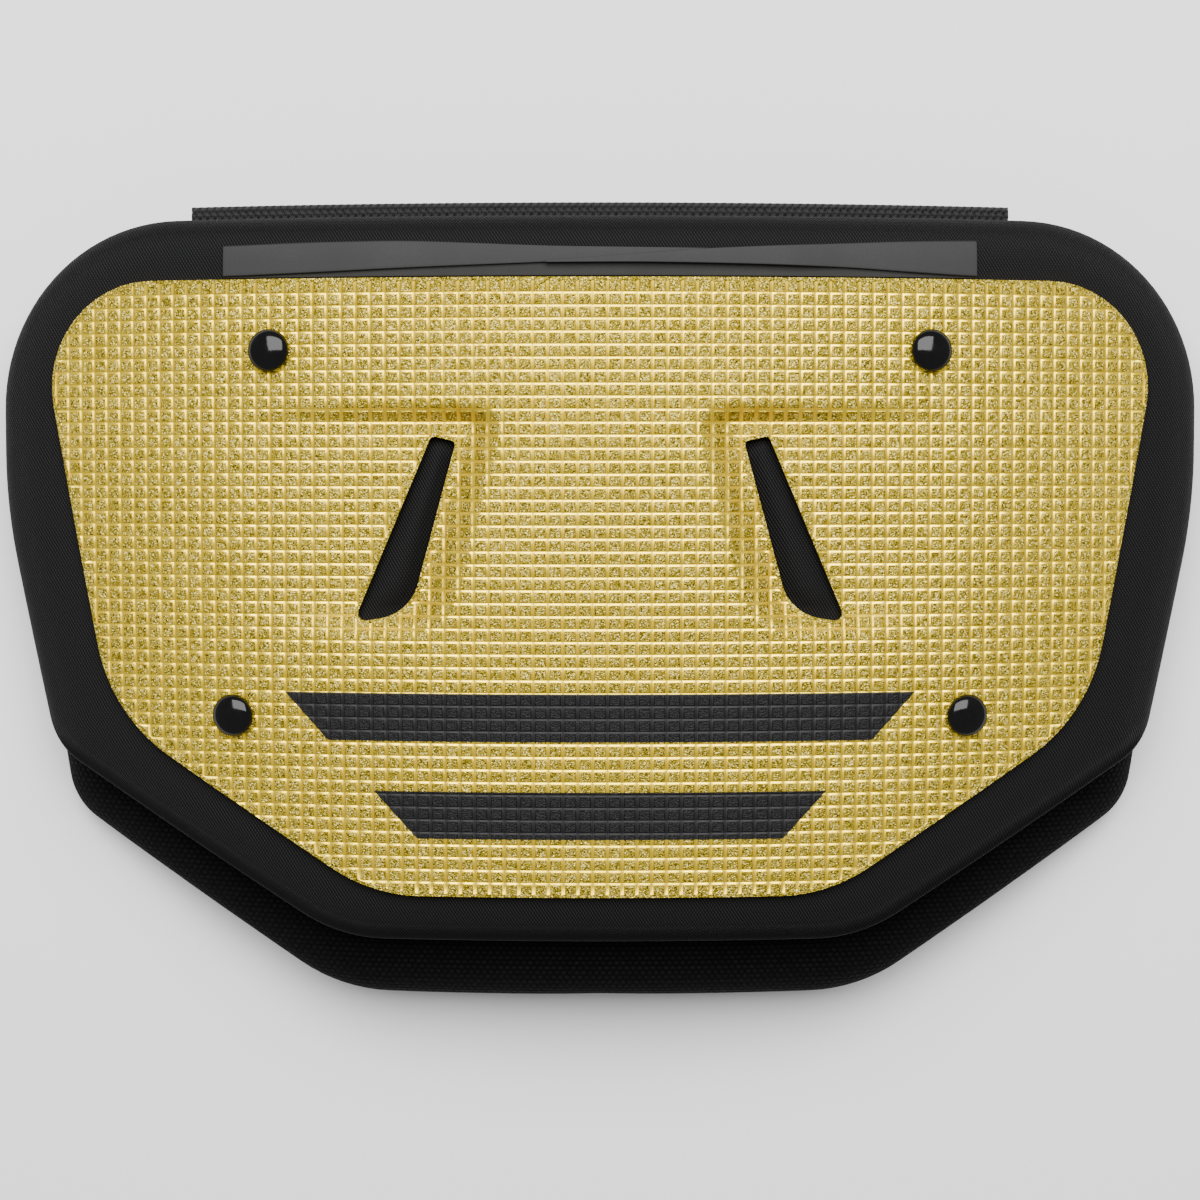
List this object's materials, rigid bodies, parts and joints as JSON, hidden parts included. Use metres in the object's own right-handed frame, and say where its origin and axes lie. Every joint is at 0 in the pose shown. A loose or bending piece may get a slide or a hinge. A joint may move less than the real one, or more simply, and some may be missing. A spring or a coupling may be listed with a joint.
{
  "type": "football back plate",
  "caption": "Arched lower-back protector: embossed gold plate with slanted vent slots, snapped onto a black padded body with a mesh cushion behind.",
  "frame": {"origin": "middle of the outline, on the surface that the rear face rests on", "axes": "+Z out of the gold front face, +Y towards the wearer's head, +X to the right seen from the front"},
  "size_m": [0.328, 0.2158, 0.0618],
  "materials": {
    "embossed_gold": "embossed squares, metallic gold with glitter",
    "woven_nylon": "fine diagonal weave, matt",
    "coarse_mesh": "coarse spacer mesh, matt",
    "coarse_webbing": "coarse braided webbing",
    "grey_film": "smooth matt strip",
    "black_enamel": "gloss"
  },
  "bodies": {
    "root": {"front_plate": "embossed_gold", "front_pad": "woven_nylon", "rear_pad": "coarse_mesh", "top_webbing": "coarse_webbing", "tongue_left": "grey_film", "tongue_right": "grey_film", "snap_upper_left": "black_enamel", "snap_upper_right": "black_enamel", "snap_lower_left": "black_enamel", "snap_lower_right": "black_enamel"}
  },
  "joints": []
}
